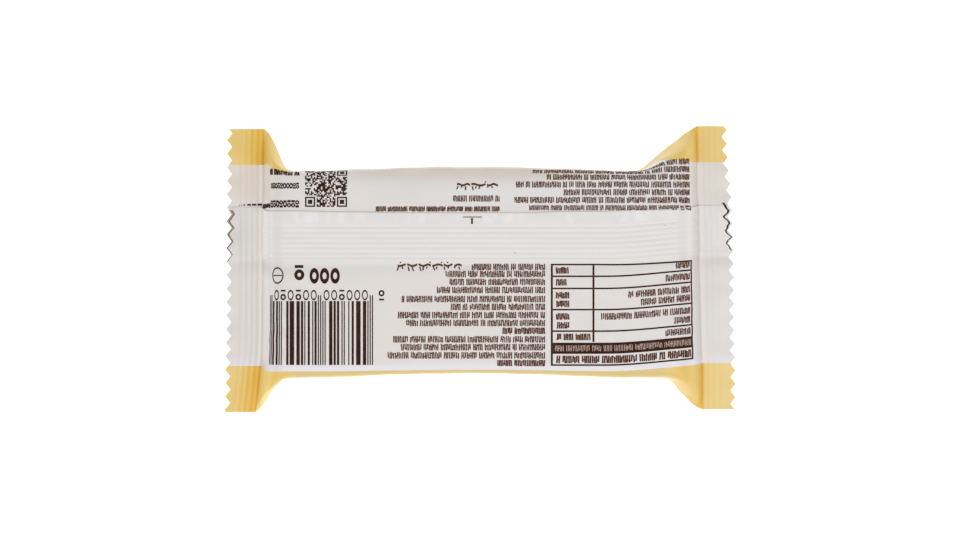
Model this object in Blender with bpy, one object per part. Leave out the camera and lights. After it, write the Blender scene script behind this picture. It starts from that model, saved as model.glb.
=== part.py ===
"""A thick bar of white chocolate, shut in its flow-wrap pack.

One tube of film runs round the bar. It is closed along the back by a fin seal that is folded flat,
and across both ends by a crimped seal with a zigzag cut. The pack lies on its front, back up.
Lengths below are in millimetres: X runs along the pack, Y across it, and Z = 0 is the underside.
The film is described in its own flat coordinates: u along it and v across it, both 0 in the middle.
An end is -1 or 1 along X, and a side is -1 or 1 along Y.
"""
import math

import bmesh
import bpy

MM = 0.001

# Film tube: a quarter of its girth is also half the width of an end seal
QUARTER_GIRTH = 42.0
SEAL_THICK = 0.5

# Wrapped bar, which lies slightly bowed
BODY_THICK = 23.0
BODY_HALF_WIDTH = 30.4
BODY_HALF_LENGTH = 57.2
BODY_OFFSET = -0.25
BOW_CENTRE = -2.8
BOW_REACH = 45.0
BOW_DEPTH = 1.3
BOW_POWER = 1.6

# Where the film's middle line lies across the pack: it has slipped on the back of the bar
SLIP_BACK = -1.8
SLIP_SEAL = {-1: -0.45, 1: 0.4}
SLIP_REACH = {-1: 8.0, 1: 34.0}

# Ends: the film curves down over the end of the bar to the crease of the seal
END_FILM = 13.6
END_CURVE = 3.0
END_SPREAD = 0.9
CREASE = {-1: 64.3, 1: 65.3}
CREASE_FILM = BODY_HALF_LENGTH + END_FILM

# A crease leans, over this reach of the film, and swings out toward the lower corner
CREASE_LEAN = {-1: 0.25, 1: 0.8}
CREASE_LEAN_REACH = {-1: 42.0, 1: 30.0}
CREASE_SWING = {-1: 2.0, 1: 0.0}
CREASE_SWING_FROM = 20.0
CREASE_SWING_POWER = 1.6

# Gussets: where the fold leaves the side of the body, and how far it bows out from a straight line
GUSSET_START = {(-1, 1): 57.6, (-1, -1): 59.4, (1, 1): 47.4, (1, -1): 56.0}
GUSSET_BOW = {(-1, 1): 0.9, (-1, -1): 0.7, (1, 1): 0.3, (1, -1): 0.7}
RIDGE_START = {(-1, 1): 57.2, (-1, -1): 57.2, (1, 1): 50.0, (1, -1): 57.2}

# Film turns its corners in soft rounds: each point is the mean of the film this far about it
ROUND_ALONG = 2.4
ROUND_ACROSS = 3.0
ROUND_WEIGHTS = {-1.0: 1.0, -0.5: 2.0, 0.0: 2.5, 0.5: 2.0, 1.0: 1.0}

# End seals: crimped ribs run across them, and their outer edge is cut in a zigzag
SEAL_WIDTH = {-1: 9.3, 1: 8.7}
SEAL_NARROWS = {(-1, 1): 0.0, (-1, -1): 1.5, (1, 1): 1.3, (1, -1): 0.3}
SEAL_NARROWS_FROM = {(-1, 1): 0.0, (-1, -1): 24.0, (1, 1): 18.0, (1, -1): 0.0}
SEAL_NARROWS_TO = {(-1, 1): 42.0, (-1, -1): 42.0, (1, 1): 40.0, (1, -1): 20.0}
SEAL_MARGIN = 0.9
RIB_COUNT = 5
RIB_HEIGHT = 0.22
TOOTH_DEPTH = 1.5
TOOTH_PITCH = 4.0

# Fin seal, folded flat on the back
FIN_ROOT = 4.0
FIN_RISE = 6.0
FIN_EDGE = 18.0
FIN_EDGE_SLOPE = 0.12
FIN_THICK = 0.45
FIN_THICK_IN_SEAL = 0.25

# Grid of the film
BODY_STEPS = 8
END_STEPS = 8
SIDE_BAND = 12.0

# Print: a white panel on the back, yellow round the rest
PANEL_EDGES = (-28.3, 31.3)
FILM_WHITE = (0.75, 0.73, 0.70, 1.0)
FILM_YELLOW = (0.76, 0.56, 0.19, 1.0)


def clear_scene():
    for obj in list(bpy.data.objects):
        bpy.data.objects.remove(obj, do_unlink=True)


def clamp(value, low=0.0, high=1.0):
    return min(max(value, low), high)


def ease(value, low, high):
    """0 below low, 1 above high, and a smooth step between them."""
    part = clamp((value - low) / (high - low))
    return part * part * (3.0 - 2.0 * part)


def mix(first, second, part):
    return first + (second - first) * part


def crease_at(end, v):
    """Distance from the pack's middle to the crease at the root of an end seal."""
    lean = CREASE_LEAN[end] * clamp(v / CREASE_LEAN_REACH[end], -1.0, 1.0)
    low = clamp((-v - CREASE_SWING_FROM) / (QUARTER_GIRTH - CREASE_SWING_FROM))
    return CREASE[end] - lean + CREASE_SWING[end] * low ** CREASE_SWING_POWER


def seal_width_at(end, v):
    """Width of an end seal, from its crease to the roots of its teeth."""
    corner = (end, 1 if v >= 0 else -1)
    reach = ease(abs(v), SEAL_NARROWS_FROM[corner], SEAL_NARROWS_TO[corner])
    return SEAL_WIDTH[end] - SEAL_NARROWS[corner] * reach


def body_centre(x):
    reach = clamp(abs(x - BOW_CENTRE) / BOW_REACH)
    return BODY_OFFSET - BOW_DEPTH * reach ** BOW_POWER


def side_of_body(x, side):
    return body_centre(x) + side * BODY_HALF_WIDTH


def slip(u, back):
    """Place across the pack of the film's middle line, where v is 0."""
    end = 1 if u > 0 else -1
    on_body = SLIP_BACK if back else body_centre(u)
    return mix(on_body, SLIP_SEAL[end], ease(abs(u), CREASE_FILM - SLIP_REACH[end], CREASE_FILM))


def panel_point(u, v, back):
    """A point of a broad face, which bends down to the crease at each end."""
    end = 1 if u > 0 else -1
    reach = abs(u)
    along = math.sin(clamp((reach - BODY_HALF_LENGTH) / END_FILM) * math.pi / 2.0) ** END_SPREAD
    x = min(reach, BODY_HALF_LENGTH)
    if along > 0.0:
        x = mix(BODY_HALF_LENGTH, crease_at(end, v), along)
    return end * x, slip(u, back) + v, BODY_THICK / 2.0 * (1.0 - along ** END_CURVE)


def fold_point(u, side, back):
    """A point of the fold down the pack's side, which swings out as a gusset at each end."""
    end = 1 if u > 0 else -1
    reach = abs(u)
    start = GUSSET_START[end, side]
    crease = crease_at(end, side * QUARTER_GIRTH)
    start_u = CREASE_FILM - math.hypot(crease - start, QUARTER_GIRTH - BODY_HALF_WIDTH)
    if reach <= start_u:
        x = end * reach * start / start_u
        return x, side_of_body(x, side), 0.0
    part = clamp((reach - start_u) / (CREASE_FILM - start_u))
    swing = mix(part, math.sin(part * math.pi / 2.0), GUSSET_BOW[end, side])
    seal_edge = slip(end * CREASE_FILM, back) + side * QUARTER_GIRTH
    return end * mix(start, crease, part), mix(side_of_body(end * start, side), seal_edge, swing), 0.0


def ridge_at(u, side, back):
    """The distance from v = 0 at which the film turns from the broad face into the side."""
    end = 1 if u > 0 else -1
    start = RIDGE_START[end, side]
    on_body = end * min(abs(u), start)
    corner = side * (side_of_body(on_body, side) - slip(on_body, back))
    return mix(corner, QUARTER_GIRTH, clamp((abs(u) - start) / (CREASE_FILM - start)))


def sharp_point(u, v, back):
    """A point of the film with unrounded corners, its height measured from the end seals' plane."""
    side = 1 if v >= 0 else -1
    ridge = ridge_at(u, side, back)
    if abs(v) <= ridge:
        return panel_point(u, v, back)
    corner = panel_point(u, side * ridge, back)
    fold = fold_point(u, side, back)
    part = (abs(v) - ridge) / (QUARTER_GIRTH - ridge)
    return [mix(a, b, part) for a, b in zip(corner, fold)]


def film_point(u, v, back):
    """The rounded film: the mean of a patch that shrinks to nothing at the crease and at the fold."""
    along = min(ROUND_ALONG, CREASE_FILM - abs(u))
    across = min(ROUND_ACROSS, QUARTER_GIRTH - abs(v))
    total = [0.0, 0.0, 0.0]
    for step_u, weight_u in ROUND_WEIGHTS.items():
        for step_v, weight_v in ROUND_WEIGHTS.items():
            point = sharp_point(u + along * step_u, v + across * step_v, back)
            total = [t + weight_u * weight_v * c for t, c in zip(total, point)]
    return [t / sum(ROUND_WEIGHTS.values()) ** 2 for t in total]


def seal_point(end, v, half_rib):
    """A point of an end seal on a crest or a valley of its ribs, or on its cut edge where None."""
    if half_rib is None:
        tooth = abs(2.0 * ((v + QUARTER_GIRTH) / TOOTH_PITCH % 1.0) - 1.0)
        step = seal_width_at(end, v) + TOOTH_DEPTH * tooth
        wave = 0.0
    else:
        step = (seal_width_at(end, v) - SEAL_MARGIN) * half_rib / (2 * RIB_COUNT)
        wave = RIB_HEIGHT if half_rib % 2 else -RIB_HEIGHT
    return end * (crease_at(end, v) + step), slip(end * CREASE_FILM, True) + v, wave


def fin_height(v):
    """The folded fin's share of its thickness: a ramp from its root and a sheer free edge."""
    if v > FIN_EDGE + FIN_EDGE_SLOPE / 2.0:
        return 0.0
    return ease(v, FIN_ROOT, FIN_RISE)


def place_vertex(end, u, half_rib, v, back):
    """World position of one grid point, on the back film or on the front film."""
    middle = BODY_THICK / 2.0
    if abs(u) > CREASE_FILM:
        x, y, wave = seal_point(end, v, half_rib)
        layer = SEAL_THICK / 2.0 + (FIN_THICK_IN_SEAL * fin_height(v) if back else 0.0)
        return x, y, middle + wave + (layer if back else -layer)
    x, y, height = film_point(u, v, back)
    # The layers are a seal's thickness apart at the fold and the crease, and the bar's on its faces
    layer = height + SEAL_THICK / 2.0 * (1.0 - height / middle)
    if not back:
        return x, y, middle - layer
    return x, y, middle + layer + FIN_THICK * fin_height(v)


def stations():
    """Places along the film, from one cut edge to the other, as (end, u, half rib)."""
    half = [(BODY_HALF_LENGTH * i / BODY_STEPS, None) for i in range(BODY_STEPS + 1)]
    half += [(BODY_HALF_LENGTH + END_FILM * i / END_STEPS, None) for i in range(1, END_STEPS + 1)]
    half += [(CREASE_FILM + i, i) for i in range(1, 2 * RIB_COUNT + 1)]
    half += [(CREASE_FILM + 2 * RIB_COUNT + 1, None)]
    left = [(-1, -u, half_rib) for u, half_rib in reversed(half[1:])]
    return left + [(1, u, half_rib) for u, half_rib in half]


def columns():
    """Places across the film: two a tooth, closer by the sides, and one for the fin's sheer edge."""
    half_tooth = TOOTH_PITCH / 2.0
    places = {FIN_EDGE + FIN_EDGE_SLOPE}
    for i in range(round(2.0 * QUARTER_GIRTH / half_tooth)):
        v = -QUARTER_GIRTH + half_tooth * i
        places.add(v)
        if abs(v + half_tooth / 2.0) > QUARTER_GIRTH - SIDE_BAND:
            places.add(v + half_tooth / 2.0)
    return sorted(places | {QUARTER_GIRTH})


def split_outwards(bm):
    """Cut each four-sided face on the diagonal that runs out from the middle, as the ridges do."""
    for face in list(bm.faces):
        corners = list(face.verts)
        if len(corners) != 4:
            continue
        reach = [abs(vert.co.x) + abs(vert.co.y) for vert in corners]
        far = reach.index(max(reach))
        bmesh.utils.face_split(face, corners[far], corners[far - 2])


def film_slab(name):
    """A flat grid is extruded into a slab, and each of its points is laid on the wrapped film."""
    rows = stations()
    lines = columns()
    bm = bmesh.new()
    bmesh.ops.create_grid(bm, x_segments=len(rows) - 1, y_segments=len(lines) - 1, size=1.0)
    front = set(bm.verts)
    bmesh.ops.extrude_face_region(bm, geom=bm.faces[:])
    split_outwards(bm)
    places = {}
    for vert in bm.verts:
        i = round((vert.co.x + 1.0) / 2.0 * (len(rows) - 1))
        j = round((vert.co.y + 1.0) / 2.0 * (len(lines) - 1))
        places[vert] = (lines[j], vert not in front)
        vert.co = [MM * c for c in place_vertex(*rows[i], lines[j], vert not in front)]
    for face in bm.faces:
        middle_v = sum(places[vert][0] for vert in face.verts) / len(face.verts)
        on_back = all(places[vert][1] for vert in face.verts)
        face.material_index = int(on_back and PANEL_EDGES[0] < middle_v < PANEL_EDGES[1])
    bmesh.ops.recalc_face_normals(bm, faces=bm.faces[:])
    mesh = bpy.data.meshes.new(name)
    bm.to_mesh(mesh)
    bm.free()
    return bpy.data.objects.new(name, mesh)


def film_material(name, colour, roughness):
    """Satin film, printed on its inside, so the colour lies under a faint gloss."""
    material = bpy.data.materials.new(name)
    material.use_nodes = True
    shader = material.node_tree.nodes["Principled BSDF"]
    shader.inputs["Base Color"].default_value = colour
    shader.inputs["Roughness"].default_value = roughness
    shader.inputs["Metallic"].default_value = 0.0
    return material


def build():
    clear_scene()
    pack = film_slab("wrapped_bar")
    pack.data.materials.append(film_material("yellow_film", FILM_YELLOW, 0.4))
    pack.data.materials.append(film_material("white_film", FILM_WHITE, 0.38))
    collection = bpy.data.collections.new("white_chocolate_bar")
    bpy.context.scene.collection.children.link(collection)
    collection.objects.link(pack)


build()
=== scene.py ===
"""A thick bar of white chocolate in its flow-wrap pack, lying on its front with its back to the camera.

Lengths are in millimetres until a piece's points are placed. X runs along the pack, Y across it.
The film is described in its own flat coordinates, u along it and v across it, and every piece here,
film and print alike, is drawn flat and then laid on the wrapped pack by lay(). An end is -1 or 1
along X and a side is -1 or 1 along Y.
"""
import math
import random

import bmesh
import bpy
import numpy as np
from mathutils import Matrix


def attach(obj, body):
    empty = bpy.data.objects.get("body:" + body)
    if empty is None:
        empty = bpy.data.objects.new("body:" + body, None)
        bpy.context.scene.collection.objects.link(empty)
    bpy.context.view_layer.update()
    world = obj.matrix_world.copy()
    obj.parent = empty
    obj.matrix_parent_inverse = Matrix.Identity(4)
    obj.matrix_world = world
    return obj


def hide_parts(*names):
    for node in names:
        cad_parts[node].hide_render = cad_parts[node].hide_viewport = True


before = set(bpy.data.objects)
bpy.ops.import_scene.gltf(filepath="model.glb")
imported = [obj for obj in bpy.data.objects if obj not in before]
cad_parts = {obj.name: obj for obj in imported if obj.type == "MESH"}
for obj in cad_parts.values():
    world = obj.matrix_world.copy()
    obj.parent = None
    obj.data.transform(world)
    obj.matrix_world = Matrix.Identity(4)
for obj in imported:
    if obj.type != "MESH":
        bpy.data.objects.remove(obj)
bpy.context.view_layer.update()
MM = 0.001

# Film tube: a quarter of its girth is also half the width of an end seal
QUARTER_GIRTH = 42.0
SEAL_THICK = 0.22

# Wrapped bar, which lies slightly bowed
BODY_THICK = 23.0
BODY_HALF_WIDTH = 30.4
BODY_HALF_LENGTH = 57.2
BODY_OFFSET = -0.25
BOW_CENTRE = -2.8
BOW_REACH = 45.0
BOW_DEPTH = 1.3
BOW_POWER = 1.6
UNDER_GAP = 0.1

# Where the film's middle line lies across the pack: it has slipped on the back of the bar
SLIP_BACK = -1.8
SLIP_SEAL = {-1: -0.45, 1: 0.4}
SLIP_REACH = {-1: 8.0, 1: 34.0}

# Ends: the film curves down over the end of the bar to the crease of the seal
END_FILM = 13.6
END_CURVE = 3.0
END_SPREAD = 0.9
CREASE = {-1: 64.3, 1: 65.3}
CREASE_FILM = BODY_HALF_LENGTH + END_FILM

# A crease leans, over this reach of the film, and swings out toward the lower corner
CREASE_LEAN = {-1: 0.25, 1: 0.8}
CREASE_LEAN_REACH = {-1: 42.0, 1: 30.0}
CREASE_SWING = {-1: 2.0, 1: 0.0}
CREASE_SWING_FROM = 20.0
CREASE_SWING_POWER = 1.6

# Gussets: where the fold leaves the side of the body, and how far it bows out from a straight line
GUSSET_START = {(-1, 1): 57.6, (-1, -1): 59.4, (1, 1): 47.4, (1, -1): 56.0}
GUSSET_BOW = {(-1, 1): 0.9, (-1, -1): 0.7, (1, 1): 0.3, (1, -1): 0.7}
RIDGE_START = {(-1, 1): 57.2, (-1, -1): 57.2, (1, 1): 50.0, (1, -1): 57.2}

# Film turns its corners in soft rounds: each point is the mean of the film this far about it
ROUND_ALONG = 2.4
ROUND_ACROSS = 3.0
ROUND_WEIGHTS = {-1.0: 1.0, -0.5: 2.0, 0.0: 2.5, 0.5: 2.0, 1.0: 1.0}

# End seals: crimped ribs run across them, and their outer edge is cut in a zigzag
SEAL_WIDTH = {-1: 9.3, 1: 8.7}
SEAL_NARROWS = {(-1, 1): 0.0, (-1, -1): 1.5, (1, 1): 1.3, (1, -1): 0.3}
SEAL_NARROWS_FROM = {(-1, 1): 0.0, (-1, -1): 24.0, (1, 1): 18.0, (1, -1): 0.0}
SEAL_NARROWS_TO = {(-1, 1): 42.0, (-1, -1): 42.0, (1, 1): 40.0, (1, -1): 20.0}
RIB_PITCH = 1.73
RIB_DEPTH = {-1: 0.18, 1: 0.06}
RIBS_END = 6.9
TOOTH_DEPTH = 1.5
TOOTH_PITCH = {-1: 4.0, 1: 3.96}
TOOTH_AT = {-1: -41.35, 1: -38.4}

# Fin seal, folded flat on the back, with ribs along it and a smooth margin at its free edge
FIN_ROOT = 2.8
FIN_RISE = 4.6
FIN_EDGE = 18.3
FIN_THICK = 0.36
FIN_THICK_IN_SEAL = 0.22
FIN_RIBS = (5.2, 14.2)
FIN_RIB_PITCH = 1.5
FIN_RIB_DEPTH = 0.065
FIN_GROOVE = 0.32
FIN_BLOTCH = 0.018
# The fin's free edge drifts across the pack, as (distance, end, place it starts, place it ends)
FIN_EDGE_DRIFT = (
    (0.55, -1, 15.0, 62.0), (0.5, 1, 8.0, 34.0), (-0.7, 1, 42.0, 60.0), (0.5, 1, 62.0, 72.0),
)
# Over the fin's free edge and back under it: offset from the edge, share of the fin's thickness
FIN_LIP = (
    (-0.32, 1.0), (-0.1, 0.95), (0.0, 0.74), (-0.06, 0.52),
    (-1.4, 0.42), (-1.4, 0.0), (-0.3, 0.0), (0.3, 0.0),
)

# Loose film: heights of its waves, of what the seals pull up, and of the folds on the sides
BROAD_WAVE = 0.10
FINE_WAVE = 0.05
PULLED_WAVE = 0.07
SIDE_FOLD = 0.15
SIDE_FOLD_NEAR_END = 0.17
# By the upper edge it is pressed in at one place and sags along a stretch
DENT_DEPTH = 0.55
SAG_DEPTH = 0.4
# End seals: heights of their slow waves
SEAL_SWAY = 0.35
SEAL_RIPPLE = 0.18

# Print: a white panel on the back, yellow round the rest
PANEL_EDGES = (-28.3, 31.3)
PANEL_OVER_EDGE = 2.7
# Its upper border comes back from over the body's edge, then wanders in bumps of (height, place, reach)
PANEL_COMES_BACK = {-1: (52.0, 57.5), 1: (52.0, 57.0)}
PANEL_BUMPS = {-1: ((-1.0, 59.0, 2.4), (1.2, 65.0, 3.0)), 1: ((3.2, 52.3, 3.2), (0.9, 58.0, 3.5))}
PANEL_WANDERS_FROM = 23.0
INK_TOP = 0.05
LIGHT_INK_TOP = 0.09
INK_SUNK = 0.04
INK_CELL = 0.8
FINE_CELL = 0.25
INK_GAP = 0.02
RING_STEPS = 22
CORNER_STEPS = 6

# Grid of the film
BODY_STEP = 1.3
END_STEP = 0.5
SEAL_STEP = 0.28
MARGIN_STEPS = 5
ACROSS_STEP = 0.5
FIN_STEP = 0.25
# Fine columns reach this far beyond the fin's ribs, and plain ones keep off the columns of the panel's
# edges and of the fin's lip
FIN_FINE_MARGIN = 0.75
ROOM_AT_PANEL_EDGE = 0.24
ROOM_BELOW_LIP = 0.75
ROOM_ABOVE_LIP = 1.2
# The lip gets painted shade where it is below this share of the fin's thickness
LIP_BELOW = 0.97
# Edges that turn by more than this many degrees stay sharp
SHARP_ANGLE = 42.0


def ease(value, low, high):
    """0 below low, 1 above high, and a smooth step between them."""
    part = np.clip((value - low) / (high - low), 0.0, 1.0)
    return part * part * (3.0 - 2.0 * part)


def bell(value, centre, reach):
    """1 at the centre, falling softly to nothing about twice the reach away."""
    return np.exp(-((value - centre) / reach) ** 2)


def mix(first, second, part):
    """From the first value to the second as part goes from 0 to 1."""
    return first + (second - first) * part


def at_end(table, end):
    return np.where(end < 0, table[-1], table[1])


def at_corner(table, end, side):
    left = np.where(side < 0, table[-1, -1], table[-1, 1])
    right = np.where(side < 0, table[1, -1], table[1, 1])
    return np.where(end < 0, left, right)


def sign_of(value):
    return np.where(value > 0, 1, -1)


def crease_at(end, v):
    """Distance from the pack's middle to the crease at the root of an end seal."""
    lean = at_end(CREASE_LEAN, end) * np.clip(v / at_end(CREASE_LEAN_REACH, end), -1.0, 1.0)
    low = np.clip((-v - CREASE_SWING_FROM) / (QUARTER_GIRTH - CREASE_SWING_FROM), 0.0, 1.0)
    return at_end(CREASE, end) - lean + at_end(CREASE_SWING, end) * low ** CREASE_SWING_POWER


def seal_width_at(end, v):
    """Width of an end seal, from its crease to the roots of its teeth."""
    side = sign_of(v)
    start = at_corner(SEAL_NARROWS_FROM, end, side)
    reach = ease(np.abs(v), start, at_corner(SEAL_NARROWS_TO, end, side))
    return at_end(SEAL_WIDTH, end) - at_corner(SEAL_NARROWS, end, side) * reach


def cut_at(end, v):
    """Distance from the crease to the zigzag cut."""
    phase = (v - at_end(TOOTH_AT, end)) / at_end(TOOTH_PITCH, end) % 1.0
    return seal_width_at(end, v) + TOOTH_DEPTH * np.abs(2.0 * phase - 1.0)


def body_centre(x):
    reach = np.clip(np.abs(x - BOW_CENTRE) / BOW_REACH, 0.0, 1.0)
    return BODY_OFFSET - BOW_DEPTH * reach ** BOW_POWER


def side_of_body(x, side):
    return body_centre(x) + side * BODY_HALF_WIDTH


def slip(u, back):
    """Place across the pack of the film's middle line, where v is 0."""
    end = sign_of(u)
    on_body = np.where(back, SLIP_BACK, body_centre(u))
    part = ease(np.abs(u), CREASE_FILM - at_end(SLIP_REACH, end), CREASE_FILM)
    return mix(on_body, at_end(SLIP_SEAL, end), part)


def panel_point(u, v, back):
    """A point of a broad face, which bends down to the crease at each end."""
    end = sign_of(u)
    reach = np.abs(u)
    part = np.clip((reach - BODY_HALF_LENGTH) / END_FILM, 0.0, 1.0)
    along = np.sin(part * math.pi / 2.0) ** END_SPREAD
    x = np.where(along > 0.0, mix(BODY_HALF_LENGTH, crease_at(end, v), along), reach)
    height = BODY_THICK / 2.0 * (1.0 - along ** END_CURVE)
    return np.stack([end * x, slip(u, back) + v, height], axis=-1)


def fold_point(u, side, back):
    """A point of the fold down the pack's side, which swings out as a gusset at each end."""
    end = sign_of(u)
    reach = np.abs(u)
    start = at_corner(GUSSET_START, end, side)
    crease = crease_at(end, side * QUARTER_GIRTH)
    start_u = CREASE_FILM - np.hypot(crease - start, QUARTER_GIRTH - BODY_HALF_WIDTH)
    on_body = end * reach * start / start_u
    part = np.clip((reach - start_u) / (CREASE_FILM - start_u), 0.0, 1.0)
    swing = mix(part, np.sin(part * math.pi / 2.0), at_corner(GUSSET_BOW, end, side))
    seal_edge = slip(end * CREASE_FILM, back) + side * QUARTER_GIRTH
    out = mix(side_of_body(end * start, side), seal_edge, swing)
    x = np.where(reach <= start_u, on_body, end * mix(start, crease, part))
    y = np.where(reach <= start_u, side_of_body(on_body, side), out)
    return np.stack([x, y, np.zeros_like(x)], axis=-1)


def ridge_at(u, side, back):
    """The distance from v = 0 at which the film turns from the broad face into the side."""
    end = sign_of(u)
    start = at_corner(RIDGE_START, end, side)
    on_body = end * np.minimum(np.abs(u), start)
    corner = side * (side_of_body(on_body, side) - slip(on_body, back))
    return mix(corner, QUARTER_GIRTH, np.clip((np.abs(u) - start) / (CREASE_FILM - start), 0.0, 1.0))


def sharp_point(u, v, back):
    """A point of the film with unrounded corners, its height measured from the end seals' plane."""
    side = sign_of(v)
    ridge = ridge_at(u, side, back)
    corner = panel_point(u, side * ridge, back)
    fold = fold_point(u, side, back)
    part = (np.abs(v) - ridge) / np.maximum(QUARTER_GIRTH - ridge, 1e-6)
    gusset = mix(corner, fold, np.clip(part, 0.0, 1.0)[..., None])
    return np.where((np.abs(v) <= ridge)[..., None], panel_point(u, v, back), gusset)


def film_point(u, v, back):
    """The rounded film: the mean of a patch that shrinks to nothing at the crease and at the fold."""
    along = np.clip(CREASE_FILM - np.abs(u), 0.0, ROUND_ALONG)
    across = np.clip(QUARTER_GIRTH - np.abs(v), 0.0, ROUND_ACROSS)
    total = 0.0
    for step_u, weight_u in ROUND_WEIGHTS.items():
        for step_v, weight_v in ROUND_WEIGHTS.items():
            point = sharp_point(u + along * step_u, v + across * step_v, back)
            total = total + weight_u * weight_v * point
    return total / sum(ROUND_WEIGHTS.values()) ** 2


def seal_step(u):
    """Distance out from the crease, 0 on the body."""
    return np.maximum(np.abs(u) - CREASE_FILM, 0.0)


def smooth_film(u, v, back):
    """A point of the film without its thickness and relief, out to the cut edges."""
    end = sign_of(u)
    on_pack = film_point(np.clip(u, -CREASE_FILM, CREASE_FILM), v, back)
    crease = np.stack([end * crease_at(end, v), slip(end * CREASE_FILM, back) + v, 0.0 * v], axis=-1)
    out = np.stack([end * seal_step(u), 0.0 * v, 0.0 * v], axis=-1)
    return np.where((seal_step(u) > 0.0)[..., None], crease + out, on_pack)


def ripples(u, v, seed, count, shortest, longest, lean=math.pi):
    """Seeded waves that run within lean of the u axis and add up to about -1 to 1."""
    draw = random.Random(seed)
    total = 0.0
    for _ in range(count):
        turn = draw.uniform(-lean, lean)
        wave = 2.0 * math.pi / draw.uniform(shortest, longest)
        phase = draw.uniform(0.0, 2.0 * math.pi)
        total = total + np.sin(wave * (u * math.cos(turn) + v * math.sin(turn)) + phase)
    return total / count ** 0.5 / 1.5


def seal_wave(u, v):
    """Height of both layers of an end seal: its ribs, and the slow waves of a loose flap."""
    end = sign_of(u)
    step = seal_step(u)
    rib = (0.5 - 0.5 * np.cos(2.0 * math.pi * step / RIB_PITCH)) ** 0.7
    crimp = at_end(RIB_DEPTH, end) * rib * (1.0 - ease(step, RIBS_END, RIBS_END + 0.6))
    uneven = 1.0 + 0.3 * ripples(0.0 * u, v, 11, 4, 9.0, 30.0)
    sway = SEAL_SWAY * np.sin(v / 9.0 + 1.3 * end) + SEAL_RIPPLE * ripples(u, v, 6, 5, 9.0, 22.0)
    return np.where(step > 0.0, crimp * uneven + ease(step, 0.5, 9.0) * sway, 0.0)


def fin_edge_at(u):
    """The fin's free edge isn't quite straight."""
    edge = FIN_EDGE + 0.05 * np.sin(u / 3.1)
    for distance, end, start, whole in FIN_EDGE_DRIFT:
        edge = edge + distance * ease(end * u, start, whole)
    return edge


def fin_thick_at(u):
    """The fin's thickness, which is less in the end seals and uneven along it."""
    thick = mix(FIN_THICK, FIN_THICK_IN_SEAL, ease(np.abs(u), CREASE_FILM - 3.0, CREASE_FILM))
    return thick * (1.0 + 0.12 * ripples(u, 0.0 * u, 21, 5, 8.0, 30.0))


def fin_rise(u, v):
    """Height of the folded fin's top over the film beside it, with its ribs, up to its free edge."""
    phase = (v - FIN_RIBS[0]) / FIN_RIB_PITCH
    groove = bell((phase - np.round(phase)) * FIN_RIB_PITCH, 0.0, FIN_GROOVE)
    first, last = FIN_RIBS
    ribbed = ease(v, first - 0.8, first - 0.4) * (1.0 - ease(v, last + 0.4, last + 0.8))
    ribbed = ribbed * (1.0 - 0.85 * ease(np.abs(u), CREASE_FILM - 5.0, CREASE_FILM))
    blotch = ease(v, last + 0.6, last + 1.6) * ripples(u, 0.15 * v, 33, 7, 2.6, 9.0, 0.3)
    folded = fin_thick_at(u) * ease(v, FIN_ROOT, FIN_RISE)
    rise = folded - FIN_RIB_DEPTH * groove * ribbed + FIN_BLOTCH * blotch
    return np.where(v <= fin_edge_at(u), rise, 0.0)


def slack(u, v, back):
    """How far the loose film stands out from the bar's smooth form, or sags in between its corners."""
    held = ease(QUARTER_GIRTH - np.abs(v), 0.0, 6.0) * ease(CREASE_FILM - np.abs(u), 0.0, 4.0)
    near_end = ease(np.abs(u), 44.0, 62.0)
    broad = BROAD_WAVE * ripples(u, v, 3, 7, 18.0, 46.0)
    fine = FINE_WAVE * ripples(u, v, 8, 9, 6.0, 15.0)
    pulled = PULLED_WAVE * near_end * ripples(0.3 * u, v, 13, 8, 3.2, 9.0)
    pressed = np.where(back, 1.0, ease(np.abs(v), 24.0, 31.0))
    dent = DENT_DEPTH * bell(u, -21.0, 8.0) * bell(v, 28.6, 3.2)
    sag = SAG_DEPTH * ease(u, -44.0, -34.0) * (1.0 - ease(u, 14.0, 26.0)) * bell(v, 30.3, 1.9)
    on_side = ease(np.abs(v), 31.0, 35.0) * ease(CREASE_FILM - np.abs(u), 1.0, 9.0)
    folds = SIDE_FOLD * ripples(u, 0.35 * np.abs(v), 41, 6, 9.0, 26.0, 0.5)
    tight = ripples(u, 0.4 * np.abs(v), 43, 6, 3.5, 8.0, 0.9)
    folds = folds + SIDE_FOLD_NEAR_END * near_end * tight
    return held * (pressed * (broad + fine + pulled) - np.where(back, dent + sag, 0.0)) + on_side * folds


def lay(u, v, rise, back):
    """World points, in metres, of places on the wrapped film, risen off its surface by so much."""
    tiny = 0.02
    base = smooth_film(u, v, back)
    inward = np.where(v > 0, -tiny, tiny)
    along = smooth_film(u + tiny, v, back) - smooth_film(u - tiny, v, back)
    across = (smooth_film(u, v + inward, back) - base) * np.sign(inward)[..., None]
    normal = np.cross(along, across)
    normal /= np.maximum(np.linalg.norm(normal, axis=-1, keepdims=True), 1e-9)
    in_seal = seal_step(u) > 0.0
    normal = np.where(in_seal[..., None], (0.0, 0.0, 1.0), normal)
    middle = BODY_THICK / 2.0
    layer = SEAL_THICK / 2.0 * (1.0 - base[..., 2] / middle)
    out = rise + np.where(in_seal, 0.0, slack(u, v, back))
    point = base + normal * out[..., None]
    height = point[..., 2] + layer
    under = -height * (1.0 - UNDER_GAP / middle)
    point[..., 2] = middle + np.where(back, height, under) + seal_wave(u, v)
    return point * MM


def read_points(mesh):
    flat = np.empty(len(mesh.vertices) * 3, np.float32)
    mesh.vertices.foreach_get("co", flat)
    return flat.reshape(-1, 3).astype(float)


def write_points(mesh, points):
    mesh.vertices.foreach_set("co", points.astype(np.float32).ravel())
    mesh.update()


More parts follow.
